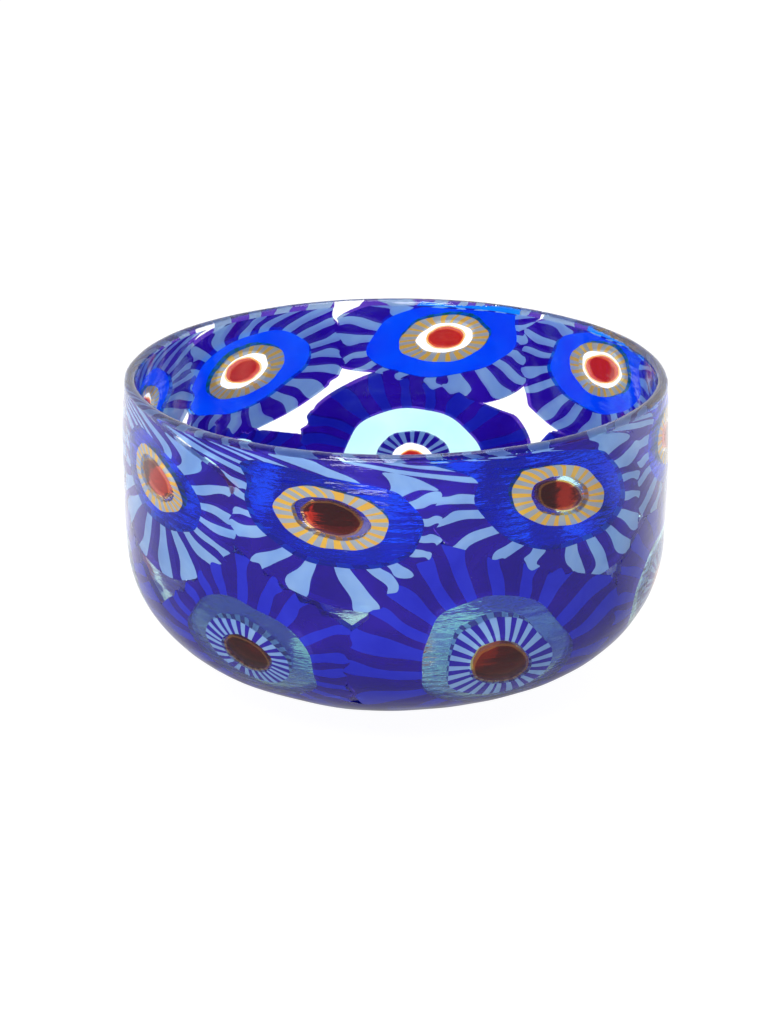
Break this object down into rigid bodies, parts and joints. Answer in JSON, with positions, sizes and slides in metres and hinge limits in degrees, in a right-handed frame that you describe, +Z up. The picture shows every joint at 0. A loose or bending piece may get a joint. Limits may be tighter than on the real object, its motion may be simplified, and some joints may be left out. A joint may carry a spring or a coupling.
{
  "type": "art glass bowl",
  "caption": "Deep round blown bowl of fused patterned cane slices: ringed eyes in two rows with radiating staves, clear rim and a flat ground base.",
  "frame": {"origin": "centre of the ground flat that the bowl stands on", "axes": "+Z up the bowl's axis, -Y toward the front, +X to the right seen from the front"},
  "size_m": [0.2046, 0.2046, 0.119],
  "materials": {
    "clear_glass": "clear colourless glass, fire polished",
    "collar_glass": "clear glass collar round each core",
    "red_core_glass": "transparent red glass, dark where it is not lit from behind",
    "amber_cane_glass": "opaque amber cane alternating with pale grey-blue cane",
    "cobalt_glass": "transparent cobalt blue glass",
    "spoke_cane_glass": "navy cane alternating with pale blue cane",
    "aqua_glass": "transparent pale aqua glass",
    "lower_stave_glass": "navy cane alternating with mid-blue cane",
    "upper_stave_glass": "navy cane alternating with pale blue cane"
  },
  "bodies": {
    "root": {"base_aqua_ring": "aqua_glass", "base_collar": "collar_glass", "base_core": "red_core_glass", "base_spoke_ring": "spoke_cane_glass", "base_staves": "lower_stave_glass", "clear_gaps": "clear_glass", "clear_rim": "clear_glass", "lower_1_aqua_ring": "aqua_glass", "lower_1_spoke_ring": "spoke_cane_glass", "lower_1_staves": "lower_stave_glass", "lower_2_aqua_ring": "aqua_glass", "lower_2_spoke_ring": "spoke_cane_glass", "lower_2_staves": "lower_stave_glass", "lower_3_aqua_ring": "aqua_glass", "lower_3_spoke_ring": "spoke_cane_glass", "lower_3_staves": "lower_stave_glass", "lower_4_aqua_ring": "aqua_glass", "lower_4_spoke_ring": "spoke_cane_glass", "lower_4_staves": "lower_stave_glass", "lower_5_aqua_ring": "aqua_glass", "lower_5_spoke_ring": "spoke_cane_glass", "lower_5_staves": "lower_stave_glass", "lower_6_aqua_ring": "aqua_glass", "lower_6_spoke_ring": "spoke_cane_glass", "lower_6_staves": "lower_stave_glass", "lower_7_aqua_ring": "aqua_glass", "lower_7_spoke_ring": "spoke_cane_glass", "lower_7_staves": "lower_stave_glass", "lower_collars": "collar_glass", "lower_cores": "red_core_glass", "upper_1_amber_ring": "amber_cane_glass", "upper_1_blue_ring": "cobalt_glass", "upper_1_staves": "upper_stave_glass", "upper_2_amber_ring": "amber_cane_glass", "upper_2_blue_ring": "cobalt_glass", "upper_2_staves": "upper_stave_glass", "upper_3_amber_ring": "amber_cane_glass", "upper_3_blue_ring": "cobalt_glass", "upper_3_staves": "upper_stave_glass", "upper_4_amber_ring": "amber_cane_glass", "upper_4_blue_ring": "cobalt_glass", "upper_4_staves": "upper_stave_glass", "upper_5_amber_ring": "amber_cane_glass", "upper_5_blue_ring": "cobalt_glass", "upper_5_staves": "upper_stave_glass", "upper_6_amber_ring": "amber_cane_glass", "upper_6_blue_ring": "cobalt_glass", "upper_6_staves": "upper_stave_glass", "upper_7_amber_ring": "amber_cane_glass", "upper_7_blue_ring": "cobalt_glass", "upper_7_staves": "upper_stave_glass", "upper_8_amber_ring": "amber_cane_glass", "upper_8_blue_ring": "cobalt_glass", "upper_8_staves": "upper_stave_glass", "upper_collars": "collar_glass", "upper_cores": "red_core_glass"}
  },
  "joints": []
}
